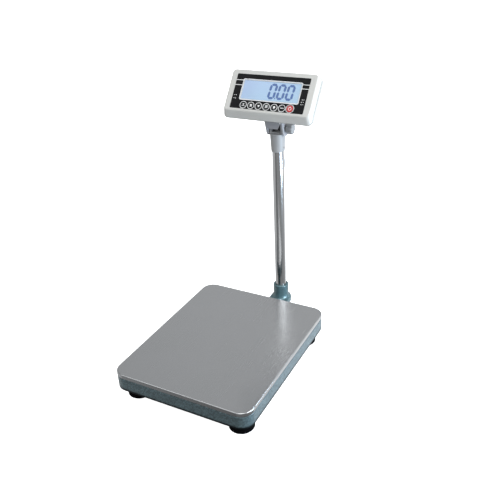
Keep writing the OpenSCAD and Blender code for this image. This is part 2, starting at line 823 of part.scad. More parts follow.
base_frame();
base_channel();
base_crossbars();
stop_screws();
lock_nuts();
spirit_level();
load_cell();
cell_spacers();
cell_bolts();
pan_support();
pan_bumpers();
bracket_riser();
column_bracket();
bracket_bolts();
collar_screws();
column_tube();
cable_grommet();
inner_cable();
cable_loop();
column_socket();
socket_screws();
foot_pad_fl();
foot_pad_fr();
foot_pad_rl();
foot_pad_rr();
foot_stud_fl();
foot_stud_fr();
foot_stud_rl();
foot_stud_rr();
pan();
tilt_bracket();
tilt_bracket_screws();
tilt_bolt();
tilt_bush();
tilt_washers();
tilt_knob();
rear_shell();
shell_gasket();
front_shell();
shell_screws();
overlay();
overlay_lines();
lcd_frame();
lcd_window();
lcd_panel();
lcd_digits();
lcd_backlight();
keypad_board();
main_board();
battery();
battery_door();
dc_socket();
cable_gland();
key_1();
key_2();
key_3();
key_4();
key_5();
key_6();
power_key();
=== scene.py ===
"""A bench scale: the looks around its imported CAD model. Metres, in the model's own frame."""
import json
import math

import bmesh
import bpy
from mathutils import Matrix, Vector


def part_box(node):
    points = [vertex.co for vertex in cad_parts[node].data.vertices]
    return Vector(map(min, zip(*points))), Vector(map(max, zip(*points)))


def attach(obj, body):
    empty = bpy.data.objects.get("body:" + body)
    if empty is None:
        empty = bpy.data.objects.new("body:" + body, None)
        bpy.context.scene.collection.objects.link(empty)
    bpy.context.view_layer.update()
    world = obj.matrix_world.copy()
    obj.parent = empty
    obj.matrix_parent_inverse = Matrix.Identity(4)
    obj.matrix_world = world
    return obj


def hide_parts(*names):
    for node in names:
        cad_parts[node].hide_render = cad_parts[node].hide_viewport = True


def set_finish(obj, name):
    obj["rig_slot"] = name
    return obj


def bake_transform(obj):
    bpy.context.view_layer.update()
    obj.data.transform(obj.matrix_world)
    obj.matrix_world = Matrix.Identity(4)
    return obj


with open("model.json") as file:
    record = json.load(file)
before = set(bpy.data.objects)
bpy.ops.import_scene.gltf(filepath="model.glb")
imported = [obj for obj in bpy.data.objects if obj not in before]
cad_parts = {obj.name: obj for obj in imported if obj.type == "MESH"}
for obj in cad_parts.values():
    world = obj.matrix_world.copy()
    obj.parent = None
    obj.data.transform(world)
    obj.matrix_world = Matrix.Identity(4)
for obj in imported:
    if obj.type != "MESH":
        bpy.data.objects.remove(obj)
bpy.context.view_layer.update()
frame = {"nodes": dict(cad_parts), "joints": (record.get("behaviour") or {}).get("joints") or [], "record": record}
nodes = frame["nodes"]
record = frame["record"]
joints = {j["name"]: j for j in frame["joints"]}
scene = bpy.context.scene
MM = 0.001

# ---------------------------------------------------------------- camera, lights and floor

CAMERA_PLACE = (0.800, -1.365, 1.177)
CAMERA_AZIMUTH = 28.67
CAMERA_ELEVATION = 27.84
CAMERA_ROLL = -2.68
CAMERA_LENS = 45.64


def camera():
    az, el, roll = (math.radians(a) for a in (CAMERA_AZIMUTH, CAMERA_ELEVATION, CAMERA_ROLL))
    back = Vector((math.sin(az) * math.cos(el), -math.cos(az) * math.cos(el), math.sin(el)))
    right = Vector((0, 0, 1)).cross(back).normalized()
    up = back.cross(right)
    x = math.cos(roll) * right + math.sin(roll) * up
    y = back.cross(x)
    data = bpy.data.cameras.new("camera")
    data.lens = CAMERA_LENS
    data.sensor_width = 36
    data.clip_end = 100
    cam = bpy.data.objects.new("camera", data)
    cam.matrix_world = Matrix.Translation(CAMERA_PLACE) @ Matrix((x, y, back)).transposed().to_4x4()
    scene.collection.objects.link(cam)
    scene.camera = cam


def area_light(name, place, aim, size, power, color):
    data = bpy.data.lights.new(name, "AREA")
    data.shape = "RECTANGLE"
    data.size, data.size_y = size
    data.energy = power
    data.color = color
    lamp = bpy.data.objects.new(name, data)
    lamp.location = place
    direction = Vector(aim) - Vector(place)
    lamp.rotation_mode = "QUATERNION"
    lamp.rotation_quaternion = direction.to_track_quat("-Z", "Y")
    lamp.visible_camera = False
    scene.collection.objects.link(lamp)


def toward(azimuth, elevation):
    """Unit vector at that angle round from +X towards +Y, and above the horizon."""
    a, e = math.radians(azimuth), math.radians(elevation)
    return (math.cos(a) * math.cos(e), math.sin(a) * math.cos(e), math.sin(e))


ROOM_LEVEL = 0.34
# Broad soft panels round the room: azimuth, elevation, cosine where each starts and is full, level
ROOM_PANELS = [(48, -8, 0.45, 0.95, 0.12), (180, -22, 0.55, 0.95, 0.30), (112, 22, 0.80, 0.99, 0.22),
               (-64, 52, 0.86, 0.965, 2.9), (60, 80, 0.10, 0.95, 0.12), (-117, -28, 0.95, 0.995, -0.18),
               (66, -28, 0.92, 0.99, 0.85), (59, 25, 0.96, 0.99, 1.8), (-160, 62, 0.96, 0.99, 2.0),
               (0, -90, 0.30, 0.95, -0.20)]


def room():
    """The room's light: a grey surround with broad soft panels for bright metal to show, behind white."""
    world = bpy.data.worlds.new("room")
    scene.world = world
    world.use_nodes = True
    tree = world.node_tree
    direction = tree.nodes.new("ShaderNodeTexCoord").outputs["Generated"]
    level = None
    for azimuth, elevation, start, full, gain in ROOM_PANELS:
        facing = tree.nodes.new("ShaderNodeVectorMath")
        facing.operation = "DOT_PRODUCT"
        tree.links.new(direction, facing.inputs[0])
        facing.inputs[1].default_value = toward(azimuth, elevation)
        panel = tree.nodes.new("ShaderNodeMapRange")
        panel.interpolation_type = "SMOOTHSTEP"
        tree.links.new(facing.outputs["Value"], panel.inputs["Value"])
        panel.inputs["From Min"].default_value = start
        panel.inputs["From Max"].default_value = full
        panel.inputs["To Max"].default_value = gain
        total = tree.nodes.new("ShaderNodeMath")
        total.operation = "ADD"
        tree.links.new(panel.outputs["Result"], total.inputs[0])
        if level is None:
            total.inputs[1].default_value = ROOM_LEVEL
        else:
            tree.links.new(level, total.inputs[1])
        level = total.outputs[0]
    background = tree.nodes["Background"]
    background.inputs["Color"].default_value = (0.96, 0.98, 1.0, 1)
    tree.links.new(level, background.inputs["Strength"])
    white = tree.nodes.new("ShaderNodeBackground")
    white.inputs["Color"].default_value = (1, 1, 1, 1)
    seen = tree.nodes.new("ShaderNodeLightPath").outputs["Is Camera Ray"]
    backdrop = tree.nodes.new("ShaderNodeMixShader")
    tree.links.new(seen, backdrop.inputs[0])
    tree.links.new(background.outputs[0], backdrop.inputs[1])
    tree.links.new(white.outputs[0], backdrop.inputs[2])
    tree.links.new(backdrop.outputs[0], tree.nodes["World Output"].inputs["Surface"])


def lights():
    area_light("key_right", (2.4, -0.2, 1.2), (0, 0, 0.3), (1.5, 1.5), 52, (0.93, 0.97, 1.0))
    area_light("low_right", (1.15, 0.1, 0.16), (0, -0.1, 0.08), (0.7, 0.25), 13, (0.62, 0.80, 1.0))
    room()
    scene.view_settings.view_transform = "Standard"


# ---------------------------------------------------------------- materials

class Nodes:
    """A material's node tree, with short ways to add and link nodes."""

    def __init__(self, name):
        self.material = bpy.data.materials.new(name)
        self.material.use_nodes = True
        self.tree = self.material.node_tree
        self.shader = self.tree.nodes["Principled BSDF"]
        self.place = self.add("ShaderNodeTexCoord").outputs["Object"]

    def add(self, kind, links=None, **settings):
        node = self.tree.nodes.new(kind)
        for key, value in settings.items():
            setattr(node, key, value)
        for key, value in (links or {}).items():
            self.put(node.inputs[key], value)
        return node

    def put(self, socket, value):
        if isinstance(value, bpy.types.NodeSocket):
            self.tree.links.new(value, socket)
        elif isinstance(value, tuple) and len(value) == 3 and len(socket.default_value) == 4:
            socket.default_value = (*value, 1)
        else:
            socket.default_value = value

    def set(self, **values):
        for key, value in values.items():
            self.put(self.shader.inputs[key.replace("_", " ")], value)

    def stretched(self, scale):
        return self.add("ShaderNodeMapping", {"Vector": self.place, "Scale": scale}).outputs["Vector"]

    def noise(self, scale, detail=3, rough=0.55, vector=None):
        node = self.add("ShaderNodeTexNoise", {"Vector": vector or self.place, "Scale": scale,
                                               "Detail": detail, "Roughness": rough})
        return node.outputs["Fac"]

    def cells(self, scale, smooth=0.6, vector=None):
        node = self.add("ShaderNodeTexVoronoi", {"Vector": vector or self.place, "Scale": scale,
                                                 "Smoothness": smooth}, feature="SMOOTH_F1")
        return node

    def span(self, value, low, high, start=0.3, stop=0.7):
        node = self.add("ShaderNodeMapRange", {"Value": value, "From Min": start, "From Max": stop,
                                               "To Min": low, "To Max": high})
        return node.outputs["Result"]

    def tint(self, factor, a, b):
        node = self.add("ShaderNodeMix", data_type="RGBA")
        self.put(node.inputs[0], factor)
        self.put(node.inputs[6], a)
        self.put(node.inputs[7], b)
        return node.outputs[2]

    def bump(self, height, distance, strength=1.0):
        links = {"Height": height, "Distance": distance, "Strength": strength}
        return self.add("ShaderNodeBump", links).outputs["Normal"]


def shade(color, factor):
    return tuple(min(1.0, c * factor) for c in color)


def plain(name, color, rough, metal=0.0, vary=0.07, grain=900, depth=0.00003, specular=0.5, coat=0.0):
    """A moulded, cast or coated surface: mottled colour, uneven gloss and a fine grain."""
    n = Nodes(name)
    cloud = n.noise(14, 4)
    fine = n.noise(grain, 3)
    n.set(Base_Color=n.tint(n.span(cloud, 0, 1), shade(color, 1 - vary), shade(color, 1 + vary)),
          Roughness=n.span(n.noise(60, 4), rough - 0.05, rough + 0.05), Metallic=metal,
          Specular_IOR_Level=specular, Coat_Weight=coat, Normal=n.bump(fine, depth))
    return n.material


def hammertone(name, color, edge=None):
    """Hammer-finish enamel: dimples with metal flake, and painted shade close above edge, a height, if given:
    darker, with less shine.
    """
    n = Nodes(name)
    warp = n.add("ShaderNodeVectorMath", {0: n.place, 1: n.add("ShaderNodeVectorMath", {
        0: n.add("ShaderNodeTexNoise", {"Vector": n.place, "Scale": 160.0, "Detail": 2.0}).outputs["Color"],
        1: (0.004, 0.004, 0.004)}, operation="MULTIPLY").outputs[0]}, operation="ADD").outputs[0]
    pebble = n.cells(230, 0.5, warp).outputs["Distance"]
    flake = n.cells(1900, 0.1)
    lane = n.span(pebble, 0, 1, 0.15, 0.55)
    base = n.tint(lane, shade(color, 1.5), shade(color, 0.45))
    speck = n.add("ShaderNodeSeparateColor", {0: flake.outputs["Color"]}).outputs[0]
    bright = n.tint(n.span(speck, 0, 0.55, 0.7, 1.0), base, shade(color, 3.0))
    cloudy = n.tint(n.span(n.noise(22, 3), 0, 0.35), bright, shade(color, 0.75))
    n.set(Base_Color=cloudy, Metallic=0.35, Roughness=n.span(lane, 0.24, 0.42, 0, 1),
          Coat_Weight=0.35, Coat_Roughness=0.12,
          Normal=n.bump(n.span(pebble, 1, 0, 0.05, 0.6), 0.00022, 0.9))
    # Painted shade: within a few mm above the edge height the paint turns near black, with little gloss or coat
    if edge is not None:
        height = n.add("ShaderNodeSeparateXYZ", {0: n.place}).outputs[2]
        above = n.span(height, 0, 1, edge + 0.004, edge + 0.010)
        n.set(Base_Color=n.tint(above, shade(color, 0.04), cloudy),
              Specular_IOR_Level=n.span(above, 0.05, 0.5, 0, 1),
              Coat_Weight=n.span(above, 0.03, 0.35, 0, 1))
    return n.material


def brushed(name, color, rough, along, depth=0.000012, vary=0.05):
    """Satin stainless steel: fine lines along one direction, and smudges."""
    n = Nodes(name)
    lines = n.noise(1.0, 2, 0.6, n.stretched(along))
    smudge = n.noise(9, 5, 0.6)
    tone = n.tint(n.span(lines, 0, 1), shade(color, 1 - vary), shade(color, 1 + vary))
    n.set(Base_Color=n.tint(n.span(smudge, 0, 0.4), tone, shade(color, 0.94)), Metallic=1.0,
          Roughness=n.add("ShaderNodeMath", {0: n.span(smudge, rough - 0.015, rough + 0.02),
                                             1: n.span(lines, -0.03, 0.03)}, operation="ADD").outputs[0],
          Normal=n.bump(lines, depth))
    return n.material


def rubber(name, color, rough=0.62):
    n = Nodes(name)
    dust = n.noise(45, 6, 0.7)
    n.set(Base_Color=n.tint(n.span(dust, 0, 1, 0.45, 0.8), color, shade(color, 1.9)),
          Roughness=n.span(dust, rough, rough + 0.15), Specular_IOR_Level=0.03,
          Normal=n.bump(n.noise(1400, 2), 0.00004))
    return n.material


def lcd_glow(name):
    """The backlit panel: light blue, paler at its middle and greener towards its lower right."""
    n = Nodes(name)
    low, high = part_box("lcd_panel")
    centre = (low + high) / 2
    wide = (high.x - low.x) / 2
    spot = n.add("ShaderNodeSeparateXYZ", {0: n.place}).outputs
    across = n.span(spot[0], 0, 1, centre.x - wide, centre.x + wide)
    height = n.span(spot[2], 0, 1, low.z, high.z)
    left = n.tint(n.span(across, 0, 1, 0, 0.35), (0.36, 0.45, 0.76), (0.43, 0.61, 0.88))
    base = n.tint(n.span(across, 0, 1, 0.5, 1), left, (0.38, 0.58, 0.80))
    pale = n.tint(n.span(n.noise(11, 2), 0, 0.4), base, (0.50, 0.68, 0.90))
    full = n.tint(n.span(height, 0.5, 0, 0, 1), pale, (0.40, 0.64, 0.78))
    fine = n.noise(1500, 1)
    glow = n.tint(n.span(fine, 0, 0.12), full, (0.30, 0.45, 0.75))
    n.set(Base_Color=(0.05, 0.07, 0.10), Emission_Color=glow, Emission_Strength=0.84, Roughness=0.22,
          Normal=n.bump(fine, 0.000004))
    return n.material


def clear_film(name):
    n = Nodes(name)
    n.set(Base_Color=n.tint(n.noise(30), (0.75, 0.82, 0.9), (0.85, 0.9, 0.95)), Alpha=0.07,
          Roughness=n.span(n.noise(40), 0.04, 0.09), Normal=n.bump(n.noise(700, 1), 0.000003))
    return n.material


def stage_floor(name):
    """A glowing white floor that is clear when seen from below."""
    n = Nodes(name)
    tone = n.tint(n.span(n.noise(3, 2), 0, 1), (0.86, 0.86, 0.86), (0.9, 0.9, 0.9))
    below = n.add("ShaderNodeNewGeometry").outputs["Backfacing"]
    n.set(Base_Color=tone, Roughness=0.8, Specular_IOR_Level=0.1, Emission_Color=(1.0, 1.0, 1.0),
          Emission_Strength=0.9, Alpha=n.span(below, 1, 0, 0, 1))
    return n.material


def materials():
    """Every material by its slot. Colours are linear; a brushed metal's triple is its lines' fineness."""
    return {
        # The base frame's lowest height, above which its paint has painted shade
        "hammer_paint": hammertone("hammer_paint", (0.108, 0.160, 0.176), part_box("base_frame")[0].z),
        "arm_paint": hammertone("arm_paint", (0.095, 0.172, 0.190)),
        "pan_steel": brushed("pan_steel", (0.50, 0.505, 0.51), 0.24, (700.0, 9.0, 9.0), 0.000003, 0.02),
        "tube_steel": brushed("tube_steel", (0.62, 0.62, 0.62), 0.16, (2200.0, 2200.0, 12.0)),
        "zinc": plain("zinc", (0.55, 0.56, 0.57), 0.34, 1.0, 0.12, 1200, 0.00002),
        "dark_steel": plain("dark_steel", (0.09, 0.09, 0.095), 0.38, 0.9, 0.15, 1200, 0.00002),
        "cell_alloy": brushed("cell_alloy", (0.72, 0.73, 0.74), 0.32, (60.0, 1800.0, 60.0)),
        "black_rubber": rubber("black_rubber", (0.0025, 0.0025, 0.003), 0.75),
        "level_vial": plain("level_vial", (0.50, 0.66, 0.12), 0.12, 0.0, 0.1, 400, 0.00001, 0.6, 0.6),
        "cable_sheath": plain("cable_sheath", (0.36, 0.37, 0.38), 0.48, 0.0, 0.1, 1500, 0.00003),
        "socket_plastic": plain("socket_plastic", (0.37, 0.372, 0.374), 0.46, 0.0, 0.06, 1300, 0.00006),
        "bracket_paint": plain("bracket_paint", (0.40, 0.40, 0.42), 0.40, 0.0, 0.05, 1100, 0.00005),
        "knob_plastic": plain("knob_plastic", (0.33, 0.335, 0.34), 0.45, 0.0, 0.06, 1300, 0.00006),
        "washer_nylon": plain("washer_nylon", (0.72, 0.72, 0.70), 0.40),
        "housing_plastic": plain("housing_plastic", (0.60, 0.597, 0.57), 0.42, 0.0, 0.025, 1600, 0.00005),
        "gasket_rubber": rubber("gasket_rubber", (0.02, 0.02, 0.02)),
        "overlay_black": plain("overlay_black", (0.006, 0.006, 0.007), 0.22, 0.0, 0.25, 2600, 0.00001,
                               0.25),
        "print_white": plain("print_white", (0.92, 0.92, 0.91), 0.38, 0.0, 0.03, 2600, 0.00001),
        "lcd_frame_white": plain("lcd_frame_white", (0.80, 0.81, 0.83), 0.35, 0.0, 0.03, 2600, 0.00001),
        "window_clear": clear_film("window_clear"),
        "lcd_blue": lcd_glow("lcd_blue"),
        "lcd_segment": plain("lcd_segment", (0.014, 0.095, 0.34), 0.30, 0.0, 0.10, 2600, 0.00001),
        "diffuser": plain("diffuser", (0.85, 0.85, 0.82), 0.5),
        "board_green": plain("board_green", (0.03, 0.16, 0.07), 0.35, 0.0, 0.2, 900, 0.00004, 0.6, 0.3),
        "battery_wrap": plain("battery_wrap", (0.05, 0.09, 0.22), 0.35, 0.0, 0.12, 700, 0.00003),
        "black_plastic": plain("black_plastic", (0.016, 0.016, 0.018), 0.42, 0.0, 0.2, 1300, 0.00005),
        "key_black": plain("key_black", (0.008, 0.008, 0.009), 0.32, 0.0, 0.2, 2600, 0.00002, 0.25),
        "key_red": plain("key_red", (0.52, 0.045, 0.045), 0.34, 0.0, 0.08, 2600, 0.00002),
        "stage_floor": stage_floor("stage_floor"),
    }


paint = materials()

# ---------------------------------------------------------------- mesh helpers


def rounded(w, d, r, cx=0.0, cy=0.0, steps=10):
    """Points of a rectangle with rounded corners, anticlockwise."""
    points = []
    for k in range(4):
        sx = 1 if k in (0, 3) else -1
        sy = 1 if k < 2 else -1
        for i in range(steps + 1):
            a = math.pi / 2 * (k + i / steps)
            points.append((cx + sx * (w / 2 - r) + r * math.cos(a),
                           cy + sy * (d / 2 - r) + r * math.sin(a)))
    return points


def circle(r, steps=48, x=0.0, y=0.0):
    return [(x + r * math.cos(2 * math.pi * i / steps), y + r * math.sin(2 * math.pi * i / steps))
            for i in range(steps)]


def mix(a, b, t):
    return tuple(p + (q - p) * t for p, q in zip(a, b))


def bend(a, b, c, steps=4):
    """Values on a smooth curve from a to c that heads for b on the way."""
    return [mix(mix(a, b, i / steps), mix(b, c, i / steps), i / steps) for i in range(steps + 1)]


def soften(points, radius, steps=4, closed=False):
    """The same outline or profile with its corners rounded."""
    out = []
    count = len(points)
    for i, p in enumerate(points):
        if not closed and i in (0, count - 1):
            out.append(p)
            continue
        a, b = Vector(points[i - 1]), Vector(points[(i + 1) % count])
        p = Vector(p)
        reach = min(radius, (a - p).length * 0.49, (b - p).length * 0.49)
        start, stop = p + (a - p).normalized() * reach, p + (b - p).normalized() * reach
        out += bend(tuple(start), tuple(p), tuple(stop), steps)
    return out


class Shape:
    """Faces of one piece, gathered in a bmesh."""

    def __init__(self):
        self.bm = bmesh.new()

    def ring(self, points):
        return [self.bm.verts.new(p) for p in points]

    def face(self, verts, slot=0):
        f = self.bm.faces.new(verts)
        f.material_index = slot

    def bridge(self, a, b, slot=0):
        for i in range(len(a)):
            j = (i + 1) % len(a)
            self.face((a[i], a[j], b[j], b[i]), slot)

    def rings(self, loops, caps=True, closed=False, slot=0):
        """A skin through equal rings of points, capped at its ends or joined from last to first."""
        made = [self.ring(p) for p in loops]
        for a, b in zip(made, made[1:]):
            self.bridge(a, b, slot)
        if closed:
            self.bridge(made[-1], made[0], slot)
        elif caps:
            self.face(list(reversed(made[0])), slot)
            self.face(made[-1], slot)

    def stack(self, stages, caps=True, closed=False, slot=0, steps=10):
        """Rounded rectangles (z, width, depth, radius, x, y) joined from one to the next."""
        loops = [[(x, y, z) for x, y in rounded(*size, steps)] for z, *size in stages]
        self.rings(loops, caps, closed, slot)

    def lathe(self, profile, steps=64, slot=0):
        """A turned solid about z: the profile's points are (radius, z), from its foot up."""
        self.rings([[(x, y, z) for x, y in circle(r, steps)] for r, z in profile], slot=slot)

    def pipe(self, profile, steps=64, slot=0, shift=(0, 0)):
        """A turned solid with a hole: a closed profile of (radius, z)."""
        loops = [[(x, y, z) for x, y in circle(r, steps, *shift)] for r, z in profile]
        self.rings(loops, False, True, slot)

    def prism(self, outline, low, high, slot=0):
        self.rings([[(x, y, z) for x, y in outline] for z in (low, high)], slot=slot)

    def finish(self, name, slots, place=None, smooth=35, weighted=True):
        bmesh.ops.recalc_face_normals(self.bm, faces=self.bm.faces)
        mesh = bpy.data.meshes.new(name)
        self.bm.to_mesh(mesh)
        self.bm.free()
        if place is not None:
            mesh.transform(place)
        for s in slots:
            mesh.materials.append(paint[s])
        for p in mesh.polygons:
            p.use_smooth = True
        mesh.set_sharp_from_angle(angle=math.radians(smooth))
        obj = bpy.data.objects.new(name, mesh)
        scene.collection.objects.link(obj)
        if weighted:
            obj.modifiers.new("normals", "WEIGHTED_NORMAL").keep_sharp = True
        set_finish(obj, slots[0])
        return obj


def boolean(obj, others, operation="DIFFERENCE"):
    """Cuts the others out of obj, or joins them to it, and applies the result."""
    assert not obj.modifiers, "booleans come before other modifiers"
    for other in others:
        m = obj.modifiers.new("cut", "BOOLEAN")
        m.operation = operation
        m.solver = "EXACT"
        m.object = other
    graph = bpy.context.evaluated_depsgraph_get()
    mesh = bpy.data.meshes.new_from_object(obj.evaluated_get(graph))
    obj.modifiers.clear()
    old = obj.data
    obj.data = mesh
    bpy.data.meshes.remove(old)
    for other in others:
        bpy.data.objects.remove(other)
    return obj


def polish(obj, smooth):
    """Smooth shading, sharp edges and even normals on a piece that was cut."""
    for p in obj.data.polygons:
        p.use_smooth = True
    obj.data.set_sharp_from_angle(angle=math.radians(smooth))
    obj.modifiers.new("normals", "WEIGHTED_NORMAL").keep_sharp = True
    return obj


def put(obj, body, *replaced):
    """Hands a piece to its body, in place of the CAD nodes that it replaces."""
    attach(obj, body)
    if replaced:
        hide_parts(*replaced)


def centre_of(node):
    low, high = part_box(node)
    return (low + high) / 2


# ---------------------------------------------------------------- frames of the moving parts

# The display's face: its lean from upright, in degrees, and its centre from the tilt axis, in mm
FACE_TILT = 37
FACE_RISE = 62.6
FACE_REACH = 107
DEPTH = 60
SHELL_T = 2.6

# Places on the face and on the back, in mm right of and above the centre of the face
KEY_PITCH = 24.6
KEY_V = -42
POWER_V = -41
DIGIT_U, DIGIT_V = 6.5, 6.6
DIGIT_PITCH = 27.5
LCD_U, LCD_V = 1.4, 5.4
DOOR_U, DOOR_V = -70, -8
GLAND_V = 14
INLET_U, INLET_V = 84, -30

TILT_BORE_R = 4.05
TUBE_R = 18
CORNER = 37
GRUB_SCREW_Z = 50

MODEL = Matrix.Scale(MM, 4)
pivot = Vector(joints["indicator_tilt"]["pos_m"])
column_y = pivot.y / MM
AT_PIVOT = Matrix.Translation(pivot) @ Matrix.Rotation(math.radians(90 - FACE_TILT), 4, "X") @ MODEL
AT_FACE = AT_PIVOT @ Matrix.Translation((0, FACE_RISE, FACE_REACH))
ALONG_X = Matrix.Rotation(math.radians(90), 4, "Y")
pan_low, pan_high = (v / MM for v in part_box("pan"))
platform_y = (pan_low.y + pan_high.y) / 2
PLATFORM_W, PLATFORM_D = pan_high.x - pan_low.x, pan_high.y - pan_low.y
AT_PLATFORM = MODEL @ Matrix.Translation((0, platform_y, 0))
AT_COLUMN = MODEL @ Matrix.Translation((0, column_y, 0))


def solid_cylinder(r, low, high, place, steps=48):
    """A plain cylinder that only cuts another piece."""
    s = Shape()
    s.lathe([(r, low), (r, high)], steps)
    return s.finish("cutter", ["zinc"], place, weighted=False)


def solid_slab(w, d, r, low, high, place, x=0.0, y=0.0):
    s = Shape()
    s.prism(rounded(w, d, r, x, y, 8), low, high)
    return s.finish("cutter", ["zinc"], place, weighted=False)


# ---------------------------------------------------------------- cable behind the column

CABLE_D = 5.0
LOOP_ROUTE = [
    (0, 319.7, 696.6), (0, 327.7, 690.6), (0, 335, 684), (0, 341, 675), (0, 345, 663),
    (0, 347, 648), (0, 347, 632), (0, 346, 615), (0, 344, 597), (0, 342, 580), (0, 340, 563),
    (0, 339, 547), (0, 340, 531), (0, 343, 515), (0, 347, 500), (0, 349, 486), (0, 347, 472),
    (0, 341, 461), (0, 332, 454), (0, 322, 453)]


def smooth_route(points, steps=3):
    """A finer line through the same points."""
    p = [Vector(q) for q in points]
    out = []
    for i in range(len(p) - 1):
        a, b, c, d = p[max(i - 1, 0)], p[i], p[i + 1], p[min(i + 2, len(p) - 1)]
        for k in range(steps):
            t = k / steps
            out.append(0.5 * (2 * b + (c - a) * t + (2 * a - 5 * b + 4 * c - d) * t * t
                              + (3 * b - a - 3 * c + d) * t ** 3))
    return out + [p[-1]]


def make_cable():
    line = smooth_route(LOOP_ROUTE)
    s = Shape()
    loops = []
    for i, p in enumerate(line):
        along = (line[min(i + 1, len(line) - 1)] - line[max(i - 1, 0)]).normalized()
        side = Vector((1, 0, 0))
        up = along.cross(side)
        loops.append([p + CABLE_D / 2 * (x * side + y * up) for x, y in circle(1, 20)])
    s.rings(loops)
    cable = s.finish("display_cable", ["cable_sheath"], MODEL, weighted=False)
    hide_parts("cable_loop")
    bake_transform(cable)


# ---------------------------------------------------------------- platform and base


def inset(z, by, tightest=2.0):
    """The platform's outline at height z, drawn in by that much."""
    return (z, PLATFORM_W - 2 * by, PLATFORM_D - 2 * by, max(CORNER - by, tightest), 0, 0)


def make_pan():
    """The folded steel pan."""
    top, foot, t = pan_high.z, pan_low.z, 1.5
    under = top - t
    path = [(under, 9.0)]
    path += bend((under, 4.5), (under, t), (under - 3, t))
    path += bend((foot + 2.4, t), (foot + 2.1, t + 1.4), (foot + 1.4, t + 1.4))
    path += bend((foot + 1.0, t + 1.4), (foot, t + 1.2), (foot, t))
    path += bend((foot, 0.9), (foot, 0), (foot + 1.0, 0))
    path += bend((top - 3.4, 0), (top, 0), (top, 3.4), 6)
    path += [(top, 5.0)]
    s = Shape()
    s.stack([inset(z, by) for z, by in path], steps=16)
    put(s.finish("weighing_pan", ["pan_steel"], AT_PLATFORM, 50), "pan", "pan")


def make_base():
    """The base's band, with a boss and two webs at each foot."""
    low, high = (v.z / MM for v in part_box("base_frame"))
    wall, flange, lip = 5, 4, 19
    path = bend((low, 2.5), (low, 0), (low + 2.5, 0))
    path += bend((high - 1.4, 0), (high, 0), (high, 1.4))
    path += bend((high, 3.6), (high, wall), (high - 1.4, wall))
    path += bend((low + flange + 3, wall), (low + flange, wall), (low + flange, wall + 3))
    path += bend((low + flange, lip - 1), (low + flange, lip), (low + flange - 1, lip))
    path += bend((low + 1, lip), (low, lip), (low, lip - 1))
    s = Shape()
    s.stack([inset(z, by, 20 if by > 6 else 2) for z, by in path], closed=True, caps=False, steps=16)
    bore_r, boss_r, boss_top = 5.1, 17, low + 20
    boss = [(bore_r, low + 0.3), (bore_r + 0.3, low), (boss_r, low), (boss_r, low + 15.5)]
    boss += bend((boss_r, boss_top - 1.5), (boss_r, boss_top), (boss_r - 1.5, boss_top))
    boss += [(bore_r + 0.3, boss_top), (bore_r, boss_top - 0.3)]
    web = [(low + 0.1, 0.6), (low + 0.7, 0), (low + 3.5, 0), (low + 3.9, 0.5)]
    web_w, web_l, web_out = 34, 24, 22
    foot_x, foot_y = 162, 206
    for sx, sy in ((-1, -1), (-1, 1), (1, -1), (1, 1)):
        x, y = sx * foot_x, sy * foot_y
        s.pipe(boss, 56, 0, (x, y))
        s.stack([(z, web_l, web_w - 2 * g, 1.2, x + sx * web_out, y) for z, g in web], steps=3)
        s.stack([(z, web_w - 2 * g, web_l, 1.2, x, y + sy * web_out) for z, g in web], steps=3)
    put(s.finish("base_band", ["hammer_paint"], AT_PLATFORM, 40), "base", "base_frame")


def make_foot(corner, body):
    """A moulded rubber foot with grips round its edge, and the stud that it turns on."""
    low, high = (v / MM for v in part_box("foot_pad_" + corner))
    x, y = (low.x + high.x) / 2, (low.y + high.y) / 2
    r, h = (high.x - low.x) / 2, high.z
    place = MODEL @ Matrix.Translation((x, y, 0))
    s = Shape()
    path = [(r - 9, 1.4), (r - 8, 0.2), (r - 2.4, 0)]
    path += bend((r - 2.0, 0), (r, 0), (r, 2.2)) + bend((r, 19), (r, 22), (r - 1.6, 23.2))
    path += bend((r - 3, 24.4), (r - 6, 26.8), (r - 11, h - 0.4))
    path += [(r - 12.5, h), (8.2, h), (7.6, h - 0.6), (7.6, h - 2), (5.05, h - 2)]
    steps, grips, grip_depth = 120, 24, 0.9
    loops = []
    for radius, z in path:
        on_side = 3 < z < 21 and radius > r - 1
        ring = []
        for i in range(steps):
            a = 2 * math.pi * i / steps
            groove = grip_depth * max(0.0, math.cos(grips * a)) ** 2 if on_side else 0.0
            ring.append(((radius - groove) * math.cos(a), (radius - groove) * math.sin(a), z))
        loops.append(ring)
    s.rings(loops)
    put(s.finish("rubber_foot_" + corner, ["black_rubber"], place, 45), body, "foot_pad_" + corner)
    s = Shape()
    crest, root, pitch = 4.95, 4.35, 1.5
    stud = [(4.2, 26.2), (4.9, 26.6)]
    for i in range(23):
        z = 27.2 + i * pitch
        stud += [(crest, z), (root, z + pitch / 2)]
    stud += [(crest, 61.3), (4.2, 62.0)]
    s.lathe(stud, 40)
    put(s.finish("foot_screw_" + corner, ["zinc"], place, 60), body, "foot_stud_" + corner)


def nut(s, x, y, low, high, across, bore):
    """A hexagon nut with chamfered corners and a round bore, added to a shape."""
    count = 48
    apothem = across / 2
    corner = across / math.sqrt(3)

    def hex_ring(limit, z):
        ring = []
        for i in range(count):
            a = 2 * math.pi * i / count
            off = (a + math.pi / 6) % (math.pi / 3) - math.pi / 6
            r = min(apothem / math.cos(off), limit)
            ring.append((x + r * math.cos(a), y + r * math.sin(a), z))
        return ring

    chamfer = (corner - apothem) * 0.6
    outer = [hex_ring(apothem, low), hex_ring(corner, low + chamfer),
             hex_ring(corner, high - chamfer), hex_ring(apothem, high)]
    inner = [[(px, py, z) for px, py in circle(r, count, x, y)] for r, z in
             ((bore + 0.5, high), (bore, high - 0.5), (bore, low + 0.5), (bore + 0.5, low))]
    s.rings(outer + inner, False, True)


def make_nuts():
    s = Shape()
    for corner in ("fl", "fr", "rl", "rr"):
        c = centre_of("foot_stud_" + corner) / MM
        nut(s, c.x, c.y, 30, 37, 17, 5.0)
    put(s.finish("foot_lock_nuts", ["zinc"], MODEL, 40), "base", "lock_nuts")


